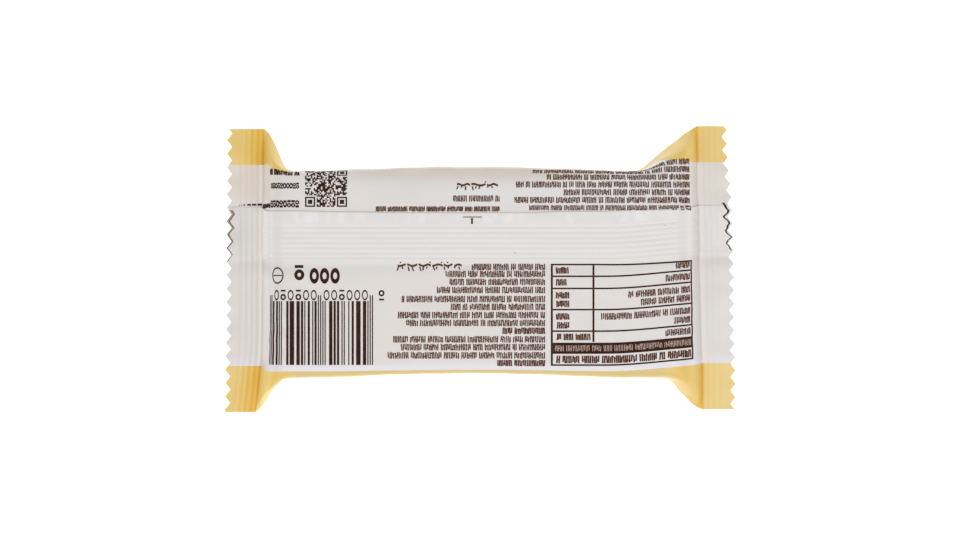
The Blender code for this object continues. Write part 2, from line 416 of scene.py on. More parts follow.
def finished_piece(name, mesh):
    """Link a piece whose points are in place, shade it, and let it ride with the pack."""
    mesh.shade_smooth()
    mesh.set_sharp_from_angle(angle=math.radians(SHARP_ANGLE))
    piece = bpy.data.objects.new(name, mesh)
    bpy.context.scene.collection.objects.link(piece)
    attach(piece, "root")
    return piece


def film_rows():
    """Places along the film: u out to the end of the ribs, then the share of the way to the cut."""
    body = np.linspace(0.0, BODY_HALF_LENGTH, round(BODY_HALF_LENGTH / BODY_STEP) + 1)
    end = np.linspace(BODY_HALF_LENGTH, CREASE_FILM, round(END_FILM / END_STEP) + 1)
    seal = np.linspace(CREASE_FILM, CREASE_FILM + RIBS_END, round(RIBS_END / SEAL_STEP) + 1)
    half = np.concatenate([body[1:], end[1:], seal[1:], np.full(MARGIN_STEPS, CREASE_FILM + RIBS_END)])
    share = np.zeros(len(half))
    share[-MARGIN_STEPS:] = np.arange(1, MARGIN_STEPS + 1) / MARGIN_STEPS
    return np.concatenate([-half[::-1], [0.0], half]), np.concatenate([share[::-1], [0.0], share])


def film_columns():
    """Places across the film: v, or the offset from the fin's free edge and the lip's share of it."""
    plain = np.arange(-QUARTER_GIRTH, QUARTER_GIRTH + 0.01, ACROSS_STEP)
    fine = np.arange(FIN_RIBS[0] - FIN_FINE_MARGIN, FIN_RIBS[1] + FIN_FINE_MARGIN + 0.01, FIN_STEP)
    places = sorted({round(float(v), 3) for v in np.concatenate([plain, fine])})
    places = [v for v in places if min(abs(v - edge) for edge in PANEL_EDGES) > ROOM_AT_PANEL_EDGE]
    places = sorted(places + list(PANEL_EDGES))
    below = FIN_EDGE - ROOM_BELOW_LIP
    above = FIN_EDGE + ROOM_ABOVE_LIP
    before = [v for v in places if v < below]
    after = [v for v in places if v > above]
    front = before + list(np.linspace(below, above, len(FIN_LIP))) + after
    offset = [0.0] * len(before) + [edge for edge, _ in FIN_LIP] + [0.0] * len(after)
    share = [-1.0] * len(before) + [part for _, part in FIN_LIP] + [-1.0] * len(after)
    return np.array(front), np.array(offset), np.array(share)


def panel_shift(u, v):
    """The white panel reaches over the body's upper edge, and its border wanders by the gussets."""
    shift = {}
    for end, (start, stop) in PANEL_COMES_BACK.items():
        shift[end] = PANEL_OVER_EDGE * (1.0 - ease(end * u, start, stop))
        for height, place, reach in PANEL_BUMPS[end]:
            shift[end] = shift[end] + height * bell(end * u, place, reach)
    above = np.clip((QUARTER_GIRTH - v) / (QUARTER_GIRTH - PANEL_EDGES[1]), 0.0, 1.0)
    near = ease(v, PANEL_WANDERS_FROM, PANEL_EDGES[1]) * above
    return at_end(shift, sign_of(u)) * near


def to_teeth(end, v):
    """v moved to the nearest tip or root of a tooth, where one is within half a step."""
    half = at_end(TOOTH_PITCH, end) / 2.0
    nearest = np.round((v - at_end(TOOTH_AT, end)) / half) * half + at_end(TOOTH_AT, end)
    free = (np.abs(v - nearest) <= ACROSS_STEP / 2.0 + 0.01) & (np.abs(v) < QUARTER_GIRTH - ACROSS_STEP)
    for edge in PANEL_EDGES:
        free &= np.abs(v - edge) > 1e-6
    return np.where(free, nearest, v)


def film_pack(yellow, white):
    """The whole film tube: a flat grid extruded into a slab, each of whose points is laid on the pack."""
    rows, margin = film_rows()
    front_v, offset, share = film_columns()
    bm = bmesh.new()
    bmesh.ops.create_grid(bm, x_segments=len(rows) - 1, y_segments=len(front_v) - 1, size=1.0)
    front = bm.verts[:]
    bmesh.ops.extrude_face_region(bm, geom=bm.faces[:])
    bmesh.ops.translate(bm, vec=(0.0, 0.0, -1.0), verts=front)
    bmesh.ops.recalc_face_normals(bm, faces=bm.faces[:])
    low, high = (2.0 * list(front_v).index(edge) / (len(front_v) - 1) - 1.0 for edge in PANEL_EDGES)
    for face in bm.faces:
        centre = face.calc_center_median()
        face.material_index = int(centre.z > -0.25 and low < centre.y < high)
    mesh = bpy.data.meshes.new("film_pack")
    bm.to_mesh(mesh)
    bm.free()

    flat = read_points(mesh)
    row = np.rint((flat[:, 0] + 1.0) / 2.0 * (len(rows) - 1)).astype(int)
    column = np.rint((flat[:, 1] + 1.0) / 2.0 * (len(front_v) - 1)).astype(int)
    back = flat[:, 2] > -0.5
    u = rows[row]
    end = sign_of(u)
    on_lip = back & (share[column] >= 0.0)
    v = np.where(on_lip, fin_edge_at(u) + offset[column], front_v[column])
    v = mix(v, to_teeth(end, v), np.where(on_lip, 0.0, margin[row]))
    v = v + np.where(back & ~on_lip, panel_shift(u, v), 0.0)
    u = u + end * margin[row] * (cut_at(end, v) - RIBS_END)
    rise = np.where(on_lip, share[column] * fin_thick_at(u), np.where(back, fin_rise(u, v), 0.0))
    write_points(mesh, lay(u, v, rise, back))
    # The lip under the fin's free edge is flagged for painted shade
    lip = on_lip & (share[column] > 0.0) & (share[column] < LIP_BELOW)
    place = mesh.attributes.new("film_place", "FLOAT_VECTOR", "POINT")
    place.data.foreach_set("vector", np.stack([u, v, lip], axis=-1).astype(np.float32).ravel())
    mesh.materials.append(yellow)
    mesh.materials.append(white)
    piece = finished_piece("film_pack", mesh)
    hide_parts("wrapped_bar")
    return piece


def block(bm, u_from, u_to, v_from, v_to, cell=INK_CELL):
    """A rectangle in flat film coordinates, in cells small enough to follow the film."""
    wide = u_to - u_from
    tall = v_to - v_from
    place = Matrix.Translation(((u_from + u_to) / 2.0, (v_from + v_to) / 2.0, 0.0))
    place = place @ Matrix.Diagonal((wide, tall, 1.0, 1.0))
    across = max(1, math.ceil(wide / cell))
    up = max(1, math.ceil(tall / cell))
    return bmesh.ops.create_grid(bm, x_segments=across, y_segments=up, size=0.5, matrix=place)["verts"]


def ring(bm, u, v, radius, width, flatten):
    """A ring of ink, spun from a short edge, and narrowed along u by flatten."""
    before = set(bm.verts)
    ends = [bm.verts.new((u + reach, v, 0.0)) for reach in (radius - width, radius)]
    spoke = [*ends, bm.edges.new(ends)]
    axis = {"cent": (u, v, 0.0), "axis": (0.0, 0.0, 1.0), "angle": 2.0 * math.pi}
    bmesh.ops.spin(bm, geom=spoke, steps=RING_STEPS, use_merge=True, **axis)
    made = [vert for vert in bm.verts if vert not in before]
    bmesh.ops.scale(bm, vec=(flatten, 1.0, 1.0), space=Matrix.Translation((-u, -v, 0.0)), verts=made)


def rounded(bm, u, v, wide, tall, radius):
    """A rectangle with rounded corners, as one face."""
    place = Matrix.Translation((u, v, 0.0)) @ Matrix.Diagonal((wide, tall, 1.0, 1.0))
    corners = bmesh.ops.create_grid(bm, x_segments=1, y_segments=1, size=0.5, matrix=place)["verts"]
    bend = {"offset": radius, "segments": CORNER_STEPS, "profile": 0.5, "affect": "VERTICES"}
    made = bmesh.ops.bevel(bm, geom=corners, material=-1, **bend)
    return made["verts"][0].link_faces[0]


def printed(name, bm, material, back=True, steady=False, ink_top=INK_TOP):
    """Give flat print its thickness and lay it on the film, level on the pack if it is steady."""
    risen = bmesh.ops.extrude_face_region(bm, geom=bm.faces[:])["geom"]
    tops = [item for item in risen if isinstance(item, bmesh.types.BMVert)]
    bmesh.ops.translate(bm, vec=(0.0, 0.0, 1.0), verts=tops)
    bmesh.ops.recalc_face_normals(bm, faces=bm.faces[:])
    if not back:
        bmesh.ops.reverse_faces(bm, faces=bm.faces[:])
    mesh = bpy.data.meshes.new(name)
    bm.to_mesh(mesh)
    bm.free()
    u, v, top = read_points(mesh).T
    if steady:
        v = v - slip(u, back) + SLIP_BACK
    lift = np.where(top > 0.5, ink_top, -INK_SUNK)
    write_points(mesh, lay(u, v, lift + (fin_rise(u, v) if back else 0.0), back))
    mesh.materials.append(material)
    return finished_piece(name, mesh)


# Small print, in shares of its height: groups of leaning posts, some of them joined by a shelf
POST_STROKE = 0.175
POST_STROKE_BOLD = 0.21
POST_STROKE_LIGHT = 0.085
POST_STEP = (0.23, 0.3)
POST_SPANS = ((0.0, 1.0), (0.0, 1.0), (0.0, 1.0), (0.0, 1.0), (0.0, 0.85), (0.15, 1.0))
POST_GROUPS = (3, 6, 9, 12, 15, 18)
POST_LEAN = 0.08
SHELF_SHARE = 0.75
WORD_SPACE = 0.26
POST_CELL = 0.95


def words(bm, draw, u_from, u_to, v, tall, weight=POST_STROKE, cell=POST_CELL):
    """One line of small print, as posts in groups with spaces between them."""
    stroke = tall * weight
    foot = v - tall / 2.0
    u = u_to
    posts = draw.choice(POST_GROUPS)
    while u - tall * POST_STEP[1] > u_from:
        if posts == 0:
            posts = draw.choice(POST_GROUPS)
            u -= tall * WORD_SPACE
            continue
        step = tall * draw.uniform(*POST_STEP)
        low, high = draw.choice(POST_SPANS)
        lean = draw.uniform(-POST_LEAN, POST_LEAN)
        for vert in block(bm, u - stroke, u, foot + tall * low, foot + tall * high, cell):
            vert.co.x += lean * (vert.co.y - v)
        posts -= 1
        if posts and draw.random() < SHELF_SHARE:
            level = foot + (tall - stroke) * draw.random()
            block(bm, u - step + INK_GAP, u - stroke - INK_GAP, level, level + stroke, cell)
        u -= step


# Flowing print: wavy ribbons with stems under them and dots over some of them. A pair is a random range
RIBBON_HALF = 0.31
RIBBON_SWING = 0.22
RIBBON_LEAST = 1.0
RIBBON_RUN = (2.0, 4.4)
RIBBON_WAVE = (1.5, 2.6)
RIBBON_SPACE = (0.15, 0.5)
RIBBON_CELL = 0.2
STEM_PITCH = 1.1
STEM_WIDTH = 0.42
STEM_DROP = (0.3, 1.3)
STEM_LEAN = 0.4
STEM_CELL = 0.6
DOT_SHARE = 0.45
DOT_SIZE = 0.4
MARK_OFFSET = 0.1


def flowing_line(bm, draw, u_from, u_to, v):
    """A line of flowing print: short thick ribbons, with leaning stems and dots under and over them."""
    u = u_from
    while u < u_to - RIBBON_LEAST:
        run = min(draw.uniform(*RIBBON_RUN), u_to - u)
        wave = draw.uniform(*RIBBON_WAVE)
        turn = draw.uniform(0.0, 2.0 * math.pi)
        for vert in block(bm, u, u + run, v - RIBBON_HALF, v + RIBBON_HALF, RIBBON_CELL):
            vert.co.y += RIBBON_SWING * math.sin(wave * (vert.co.x - u) + turn)
        under = v - RIBBON_SWING - RIBBON_HALF + MARK_OFFSET
        for stem in range(int(run / STEM_PITCH)):
            left = u + MARK_OFFSET + STEM_PITCH * stem
            lean = draw.uniform(-STEM_LEAN, STEM_LEAN)
            foot = under - draw.uniform(*STEM_DROP)
            for vert in block(bm, left, left + STEM_WIDTH, foot, under, STEM_CELL):
                vert.co.x += lean * (vert.co.y - under)
        if draw.random() < DOT_SHARE:
            over = v + RIBBON_SWING + RIBBON_HALF + MARK_OFFSET
            mark = u + run * draw.random()
            block(bm, mark, mark + DOT_SIZE, over, over + DOT_SIZE)
        u += run + draw.uniform(*RIBBON_SPACE)


# Ink along a seal's cut, and painted shade along the left one: its span in v, its inset and its width at
# both ends of that, and its wobble
LEFT_CUT_LINE = ((2.65, 17.9), (0.03, 0.8), (0.2, 0.3), 0.06)
# A band of painted shade along the left seal's cut, by the fin's end
LEFT_CUT_SHADE = ((5.0, 17.9), (0.02, 0.02), (0.05, 0.72), 0.06)
RIGHT_CUT_LINE = ((5.16, 19.3), (0.3, 0.95), (0.35, 0.7), 0.2)
WOBBLE_WAVE = 2.6


def cut_line(bm, end, span, inset, width, wobble):
    """A line of ink or of painted shade that follows the zigzag cut of an end seal."""
    low, high = span
    for vert in block(bm, 0.0, 1.0, low, high, FINE_CELL):
        v = vert.co.y
        part = (v - low) / (high - low)
        into = mix(*inset, part) + wobble * math.sin(WOBBLE_WAVE * v) + mix(*width, part) * vert.co.x
        vert.co.x = end * (CREASE_FILM + float(cut_at(end, v)) - into)


class Value:
    """A number or colour that varies over a surface. Sums written with it become Math nodes."""

    def __init__(self, paint, socket):
        self.paint = paint
        self.socket = socket

    def math(self, operation, *others):
        return self.paint.math(operation, self, *others)

    def __add__(self, other):
        return self.paint.math("ADD", self, other)

    __radd__ = __add__

    def __sub__(self, other):
        return self.paint.math("SUBTRACT", self, other)

    def __rsub__(self, other):
        return self.paint.math("SUBTRACT", other, self)

    def __mul__(self, other):
        return self.paint.math("MULTIPLY", self, other)

    __rmul__ = __mul__

    def __truediv__(self, other):
        return self.paint.math("DIVIDE", self, other)

    def __abs__(self):
        return self.paint.math("ABSOLUTE", self)

    def ease(self, low, high):
        settings = {"interpolation_type": "SMOOTHSTEP"}
        sockets = {"Value": self, "From Min": low, "From Max": high}
        return self.paint.node("ShaderNodeMapRange", settings, sockets)

    def bell(self, centre, reach):
        part = (self - centre) / reach
        return (0.0 - part * part).math("EXPONENT")


class Paint:
    """One procedural material round a Principled shader."""

    def __init__(self, name, **constants):
        self.material = bpy.data.materials.new(name)
        self.material.use_nodes = True
        self.tree = self.material.node_tree
        self.shader = self.tree.nodes["Principled BSDF"]
        for socket, value in constants.items():
            self.shader.inputs[socket.replace("_", " ")].default_value = value

    def node(self, kind, settings=None, sockets=None, output=0):
        """Add a node with these settings and socket values, and give one of its outputs."""
        made = self.tree.nodes.new(kind)
        for name, value in (settings or {}).items():
            setattr(made, name, value)
        for name, value in (sockets or {}).items():
            if isinstance(value, Value):
                self.tree.links.new(value.socket, made.inputs[name])
            else:
                made.inputs[name].default_value = value
        return Value(self, made.outputs[output])

    def math(self, operation, *values):
        return self.node("ShaderNodeMath", {"operation": operation}, dict(enumerate(values)))

    def blend(self, factor, first, second):
        """The first colour, turning into the second as factor goes from 0 to 1."""
        colours = [c if isinstance(c, Value) else (*c, 1.0) for c in (first, second)]
        sockets = {0: factor, 6: colours[0], 7: colours[1]}
        return self.node("ShaderNodeMix", {"data_type": "RGBA"}, sockets, 2)

    def noise(self, size, detail=2.0, stretch=(1.0, 1.0, 1.0)):
        """Cloudy noise with features of about size millimetres, longer by stretch along each axis."""
        place = self.node("ShaderNodeTexCoord", output="Object")
        scale = tuple(1.0 / (size * MM * s) for s in stretch)
        place = self.node("ShaderNodeVectorMath", {"operation": "MULTIPLY"}, {0: place, 1: scale})
        return self.node("ShaderNodeTexNoise", None, {"Vector": place, "Scale": 1.0, "Detail": detail})

    def film_place(self):
        """The film's own u and v in millimetres, and 1 on the lip of the fin's free edge, where shade is
        painted.
        """
        place = self.node("ShaderNodeAttribute", {"attribute_name": "film_place"}, output="Vector")
        return [self.node("ShaderNodeSeparateXYZ", None, {0: place}, axis) for axis in range(3)]

    def bump(self, height, distance):
        """Fine relief: height is 0 to 1, and distance is its depth in millimetres."""
        sockets = {"Strength": 1.0, "Distance": distance * MM, "Height": height}
        return self.node("ShaderNodeBump", None, sockets)

    def finish(self, **sockets):
        """Link varying values to the shader, and give the finished material."""
        for socket, value in sockets.items():
            self.tree.links.new(value.socket, self.shader.inputs[socket.replace("_", " ")])
        return self.material


def painted_groove_shade(u, step):
    """Painted shade in the grooves between the left seal's ribs: 1 there, less outward, and faint in the
    right seal.
    """
    phase = step / RIB_PITCH
    across = abs(phase - phase.math("ROUND")) * RIB_PITCH
    grooves = across.bell(0.0, 0.42) * (1.0 - step.ease(2.0, 7.6)) * step.ease(-1.2, 0.0)
    return grooves * (1.0 - 0.75 * u.ease(-1.0, 1.0))


def finished_film(paint, colour):
    """The sheen of either film, uneven in places, and its fine crinkles."""
    rough = 0.3 + 0.12 * paint.noise(9.0, 3.0)
    crinkle = paint.noise(2.6, 3.0, (1.6, 1.0, 1.0))
    return paint.finish(Base_Color=colour, Roughness=rough, Normal=paint.bump(crinkle, 0.03))


def white_film():
    """Pearly white film: neutral on the fin, warmer beside it, and beige where it turns down, partly as
    painted shade; with painted light by the creases, and painted shade below the fin's root, along its
    free edge and in the seal's grooves.
    """
    paint = Paint("white_film", Coat_Weight=0.15, Coat_Roughness=0.25)
    u, v, lip = paint.film_place()
    step = abs(u) - CREASE_FILM
    colour = paint.blend(paint.noise(38.0).ease(0.4, 0.65), (0.655, 0.622, 0.592), (0.66, 0.612, 0.598))
    bluish = paint.noise(52.0, 1.0, (2.0, 0.6, 1.0)).ease(0.5, 0.75)
    colour = paint.blend(bluish, colour, (0.645, 0.635, 0.625))
    on_fin = v.ease(2.5, 5.0) * (1.0 - v.ease(18.0, 19.0))
    colour = paint.blend(on_fin * 0.6, colour, (0.68, 0.672, 0.668))
    on_left = 1.0 - u.ease(-1.0, 1.0)
    streaks = paint.noise(3.0, 1.0, (1.0, 3.0, 1.0)).ease(0.5, 0.7)
    pearl = v.ease(14.8, 15.6) * (1.0 - v.ease(18.2, 18.6)) * streaks
    colour = paint.blend(pearl * 0.6, colour, (0.73, 0.73, 0.75))
    fin_in_seal = on_fin * on_left * step.ease(-1.0, 7.0)
    colour = paint.blend(fin_in_seal * 0.8, colour, (0.575, 0.555, 0.53))
    warm = step.ease(-10.0, -3.0) * (1.0 - step.ease(-2.5, -0.5)) * (1.0 - on_left)
    colour = paint.blend(warm * 0.3, colour, (0.66, 0.59, 0.49))
    # Painted light by the left crease, lightening the film where its turn into the seal falls in shade
    painted_light_by_left_crease = step.ease(-9.0, -5.0) * (1.0 - step.ease(-0.6, 0.2)) * on_left
    colour = paint.blend(painted_light_by_left_crease, colour, (0.90, 0.855, 0.82))
    upper_end = v.ease(19.0, 23.0) * step.ease(-14.0, -8.0) * (0.35 + 0.25 * on_left)
    colour = paint.blend(upper_end, colour, (0.65, 0.565, 0.465))
    colour = paint.blend(0.25 * (1.0 - v.ease(-6.0, 2.0)), colour, (0.60, 0.575, 0.55))
    colour = paint.blend(1.0 - v.ease(-28.0, -24.5), colour, (0.675, 0.65, 0.68))
    # Painted shade, warm and darker, along the upper edge where the film sags and turns down
    edge = v.ease(25.0, 31.0) * (1.0 - abs(u + 4.0).ease(22.0, 46.0))
    colour = paint.blend(edge * 0.85, colour, (0.60, 0.53, 0.46))
    # Painted shadow just below the fin's root
    colour = paint.blend(v.bell(1.8, 2.2) * 0.6, colour, (0.56, 0.55, 0.54))
    # Painted light along both creases, stronger at the left, offsetting the shade in their valleys
    crease = step.bell(0.0, 1.1) * (1.0 - 0.5 * u.ease(-1.0, 1.0))
    colour = paint.blend(crease, colour, (0.82, 0.77, 0.71))
    # Painted shade in the grooves of the seal's ribs
    colour = paint.blend(painted_groove_shade(u, step) * 0.5, colour, (0.56, 0.52, 0.47))
    # Painted shade along the fin's free edge
    colour = paint.blend(lip * 0.5, colour, (0.55, 0.47, 0.40))
    return finished_film(paint, colour)


def yellow_film():
    """Warm yellow film: deeper on the gussets, with orange painted shade in the grooves and the crease of
    the seals, and painted light by the left crease.
    """
    paint = Paint("yellow_film", Coat_Weight=0.05, Coat_Roughness=0.25, Specular_IOR_Level=0.3)
    u, v = paint.film_place()[:2]
    step = abs(u) - CREASE_FILM
    on_right = u.ease(-1.0, 1.0)
    low = 1.0 - v.ease(-20.0, 0.0)
    colour = paint.blend(paint.noise(30.0).ease(0.38, 0.66), (0.72, 0.525, 0.17), (0.71, 0.53, 0.21))
    colour = paint.blend(low * on_right * 0.7, colour, (0.77, 0.58, 0.24))
    on_gusset = step.ease(-19.0, -12.0) * (1.0 - step.ease(-3.0, 0.0))
    colour = paint.blend(on_gusset, colour, (0.70, 0.49, 0.13))
    # Painted light by the left crease, lightening the low gusset where its hollow falls in shade
    painted_light_by_left_crease = step.ease(-12.0, -5.0) * (1.0 - step.ease(-1.0, 0.0)) * (1.0 - on_right) * low
    colour = paint.blend(painted_light_by_left_crease, colour, (0.83, 0.62, 0.21))
    on_body = 1.0 - step.ease(-19.0, -12.0)
    colour = paint.blend(on_body, colour, (0.64, 0.485, 0.20))
    # Orange painted shade beside the crease of each seal
    painted_shade_by_crease = step.ease(-1.0, 0.5) * (1.0 - step.ease(0.5, 6.0)) * (1.0 - on_right)
    painted_shade_by_crease = painted_shade_by_crease + step.ease(-5.0, -0.5) * (1.0 - step.ease(-0.5, 0.4)) * on_right
    colour = paint.blend(painted_shade_by_crease * 0.75, colour, (0.71, 0.42, 0.035))
    # Orange painted shade in the grooves of the seal's ribs
    colour = paint.blend(painted_groove_shade(u, step) * 0.85, colour, (0.68, 0.39, 0.02))
    # Orange painted shade in the crease itself
    crease = step.bell(-0.1, 0.6)
    colour = paint.blend(crease * 0.85, colour, (0.74, 0.36, 0.01))
    return finished_film(paint, colour)


def brown_ink_or_shade(name, deep, thin):
    """Brown ink, thinner in places, or brown painted shade."""
    paint = Paint(name, Specular_IOR_Level=0.05)
    colour = paint.blend(paint.noise(1.6, 3.0).ease(0.35, 0.75), deep, thin)
    return paint.finish(Base_Color=colour, Roughness=0.4 + 0.1 * paint.noise(6.0))


def light_ink(name, first, second):
    """Opaque light ink, which varies slowly between two shades."""
    paint = Paint(name)
    colour = paint.blend(paint.noise(22.0).ease(0.35, 0.7), first, second)
    return paint.finish(Base_Color=colour, Roughness=0.34 + 0.1 * paint.noise(7.0))


# Bar symbol: two groups of bars between guard bars, 95 modules in all
SYMBOL_LEFT = -62.55
SYMBOL_RIGHT = -31.2
SYMBOL_MODULES = 95
SYMBOL_FOOT = -26.3
SYMBOL_HEAD = -7.6
GUARD_HEAD = -5.9
SIDE_GUARD = (1, 1, 1)
MIDDLE_GUARD = (1, 1, 1, 1, 1)
GROUP_MODULES = 42
GROUP_STRIPES = 24
STRIPE_WIDTHS = (1, 1, 1, 2, 2, 3, 4)

# Plain figures, in shares of their height, and the widest line in shares of a ring's radius
FIGURE_OFFSETS = (0.0, 0.0, -0.18, 0.18)
FIGURE_RADIUS = 0.5
FIGURE_RADIUS_BY_DASH = 0.3
FIGURE_WIDTH = 0.56
FIGURE_DASH_HALF = 0.24
FIGURE_LINE_LIMIT = 0.65

# Plain figures at the heads of the bars, in two groups and one by itself
FIGURE_GROUPS = (-54.2, -39.2)
FIGURES_IN_GROUP = 6
FIGURE_PITCH = 2.25
LONE_FIGURE = -28.7
SYMBOL_FIGURE = {"v": -5.85, "tall": 3.1, "stroke": 0.5}


def group_widths(draw):
    """Widths in modules of a group's bars and gaps, drawn at random until they fill the group."""
    while True:
        widths = [draw.choice(STRIPE_WIDTHS) for _ in range(GROUP_STRIPES)]
        if sum(widths) == GROUP_MODULES:
            return widths


def plain_figure(bm, draw, u, v, tall, stroke):
    """A small round shape as tall as a figure: an oval, or a shorter one with a dash by it."""
    offset = draw.choice(FIGURE_OFFSETS) * tall
    radius = tall * (FIGURE_RADIUS_BY_DASH if offset else FIGURE_RADIUS)
    line = min(stroke, FIGURE_LINE_LIMIT * radius)
    ring(bm, u, v + offset, radius, line, FIGURE_WIDTH * tall / 2.0 / radius)
    if offset:
        dash = v - math.copysign(tall / 2.0 - stroke / 2.0, offset)
        reach = tall * FIGURE_DASH_HALF
        block(bm, u - reach, u + reach, dash - stroke / 2.0, dash + stroke / 2.0)


def bar_symbol(ink):
    draw = random.Random(4)
    module = (SYMBOL_RIGHT - SYMBOL_LEFT) / SYMBOL_MODULES
    parts = [(SIDE_GUARD, True, GUARD_HEAD), (group_widths(draw), False, SYMBOL_HEAD)]
    parts += [(MIDDLE_GUARD, False, GUARD_HEAD), (group_widths(draw), True, SYMBOL_HEAD)]
    parts += [(SIDE_GUARD, True, GUARD_HEAD)]
    bm = bmesh.new()
    u = SYMBOL_LEFT
    for widths, dark, head in parts:
        for width in widths:
            if dark:
                block(bm, u, u + width * module, SYMBOL_FOOT, head)
            dark = not dark
            u += width * module
    for group in FIGURE_GROUPS:
        for number in range(FIGURES_IN_GROUP):
            place = group + FIGURE_PITCH * (number - (FIGURES_IN_GROUP - 1) / 2.0)
            plain_figure(bm, draw, place, **SYMBOL_FIGURE)
    plain_figure(bm, draw, LONE_FIGURE, **SYMBOL_FIGURE)
    return printed("bar_symbol", bm, ink)


# Weight mark: rings as (u, v, radius, line, narrowing along u), and bars as (left, right, foot, head)
WEIGHT_RINGS = (
    (-42.3, -0.2, 2.3, 1.3, 0.6), (-45.4, -0.2, 2.3, 1.3, 0.6), (-48.4, -0.2, 2.3, 1.3, 0.6),
    (-52.8, 0.1, 1.6, 1.0, 0.92), (-59.55, -0.1, 2.45, 0.42, 0.86),
)
WEIGHT_BARS = ((-54.1, -51.6, 2.1, 2.95), (-61.2, -57.9, -0.25, 0.05))


def weight_mark(ink):
    """Three bold ovals, a bold ring with a bar by it, and a thin ring with a bar across it."""
    bm = bmesh.new()
    for mark in WEIGHT_RINGS:
        ring(bm, *mark)
    for mark in WEIGHT_BARS:
        block(bm, *mark)
    return printed("weight_mark", bm, ink)


# Matrix code: a square of random modules with a framed square in three of its corners
MATRIX_FROM = (-51.1, 20.0)
MATRIX_COUNT = 29
MATRIX_SIZE = 12.3
MATRIX_MODULE = MATRIX_SIZE / MATRIX_COUNT
MATRIX_DENSITY = 0.56
MATRIX_GAP = 0.012
FINDER = 7


def matrix_module(draw, i, j):
    """Whether a module is dark. Three corners hold framed squares with a light margin round them."""
    last = MATRIX_COUNT - FINDER
    for corner_i, corner_j in ((0, 0), (last, 0), (last, last)):
        a = i - corner_i
        b = j - corner_j
        if -1 <= a <= FINDER and -1 <= b <= FINDER:
            return max(abs(a - FINDER // 2), abs(b - FINDER // 2)) in (0, 1, 3)
    return draw.random() < MATRIX_DENSITY


def matrix_code(ink):
    draw = random.Random(9)
    bm = bmesh.new()
    left, v = MATRIX_FROM
    for j in range(MATRIX_COUNT):
        dark = [matrix_module(draw, i, j) for i in range(MATRIX_COUNT)] + [False]
        start = None
        for i, is_dark in enumerate(dark):
            if is_dark and start is None:
                start = left + i * MATRIX_MODULE
            if not is_dark and start is not None:
                block(bm, start, left + i * MATRIX_MODULE, v, v + MATRIX_MODULE - MATRIX_GAP)
                start = None
        v += MATRIX_MODULE
    return printed("matrix_code", bm, ink, steady=True)


# Beside the matrix code: plain figures as (right end, pitch, count, height on the film, tall, stroke)
SIDE_FIGURES = ((-53.4, 1.2, 8, 20.9, 2.2, 0.66), (-53.3, 0.95, 10, 26.2, 1.75, 0.5))
# Small print there, as (left end, right end, height on the film, tall, cell)
SIDE_PRINT = ((-63.4, -52.8, 30.4, 1.9, 0.4), (-70.6, -62.6, 20.4, 1.3, 0.3))
# Dashes of print in the left seal, as (left end, length, height)
SEAL_DASHES = (
    (-72.5, 1.4, 0.6), (-74.1, 1.3, 0.55), (-75.5, 1.1, 0.5),
    (-76.6, 0.5, 0.4), (-77.3, 0.3, 0.3), (-77.9, 0.25, 0.25),
)
SEAL_DASH_FOOT = 20.6


def side_rows(ink):
    """Rows beside the matrix code. The lowest runs on as small print, then as dashes across the seal."""
    draw = random.Random(12)
    bm = bmesh.new()
    for right, pitch, count, v, tall, stroke in SIDE_FIGURES:
        for place in range(count):
            plain_figure(bm, draw, right - pitch * place, v, tall, stroke)
    for left, right, v, tall, cell in SIDE_PRINT:
        words(bm, draw, left, right, v, tall, POST_STROKE_BOLD, cell)
    for u, wide, tall in SEAL_DASHES:
        block(bm, u, u + wide, SEAL_DASH_FOOT, SEAL_DASH_FOOT + tall, FINE_CELL)
    return printed("side_rows", bm, ink, steady=True)


# Rows that end beside the fin's middle, as (left end, height on the film, tall, weight)
DATE_RIGHT = 5.9
DATE_ROWS = ((-30.9, 19.4, 1.5, POST_STROKE_BOLD), (-8.6, 22.45, 1.8, POST_STROKE))
DATE_FLOWING = (-6.6, 5.4, 26.5)


def date_rows(ink):
    """Two rows of small print, the lower cut off by the fin's free edge, and flowing print over them."""
    draw = random.Random(15)
    bm = bmesh.new()
    for left, v, tall, weight in DATE_ROWS:
        words(bm, draw, left, DATE_RIGHT, v, tall, weight)
    flowing_line(bm, draw, *DATE_FLOWING)
    return printed("date_rows", bm, ink, steady=True)


# A block of rows that runs over the pack's edge and down its right end, with the left end of each
RECIPE_STARTS = (14.2, 9.8, 24.2, 10.1, 19.2, 15.4, 44.0)
RECIPE_RIGHT = 62.6
RECIPE_FOOT = 19.75
RECIPE_PITCH = 2.27
RECIPE_TALL = 1.8
RECIPE_FOOT_TALL = 1.5
RECIPE_CELL = 0.6


def recipe_rows(ink):
    draw = random.Random(18)
    bm = bmesh.new()
    for number, start in enumerate(RECIPE_STARTS):
        v = RECIPE_FOOT + RECIPE_PITCH * number
        tall = RECIPE_TALL if number else RECIPE_FOOT_TALL
        words(bm, draw, start, RECIPE_RIGHT, v, tall, cell=RECIPE_CELL)
    return printed("recipe_rows", bm, ink, steady=True)


# Contents: rows that end at one line, as (left end, height on the film), and the headings among them
CONTENT_ROWS = (
    (-2.5, 2.4), (-10.4, 0.33), (-9.8, -2.0), (-12.9, -4.35), (-23.3, -7.0), (-8.9, -9.3), (-25.1, -11.7),
    (-21.8, -14.0), (5.7, -16.3), (-25.6, -18.8), (-23.3, -21.1), (-27.7, -23.5), (4.8, -25.8),
)
CONTENT_HEADINGS = (8, 12)
CONTENT_RIGHT = 19.2
CONTENT_TALL = 1.9
CONTENT_FLOWING = (-24.0, -5.2, 2.9)


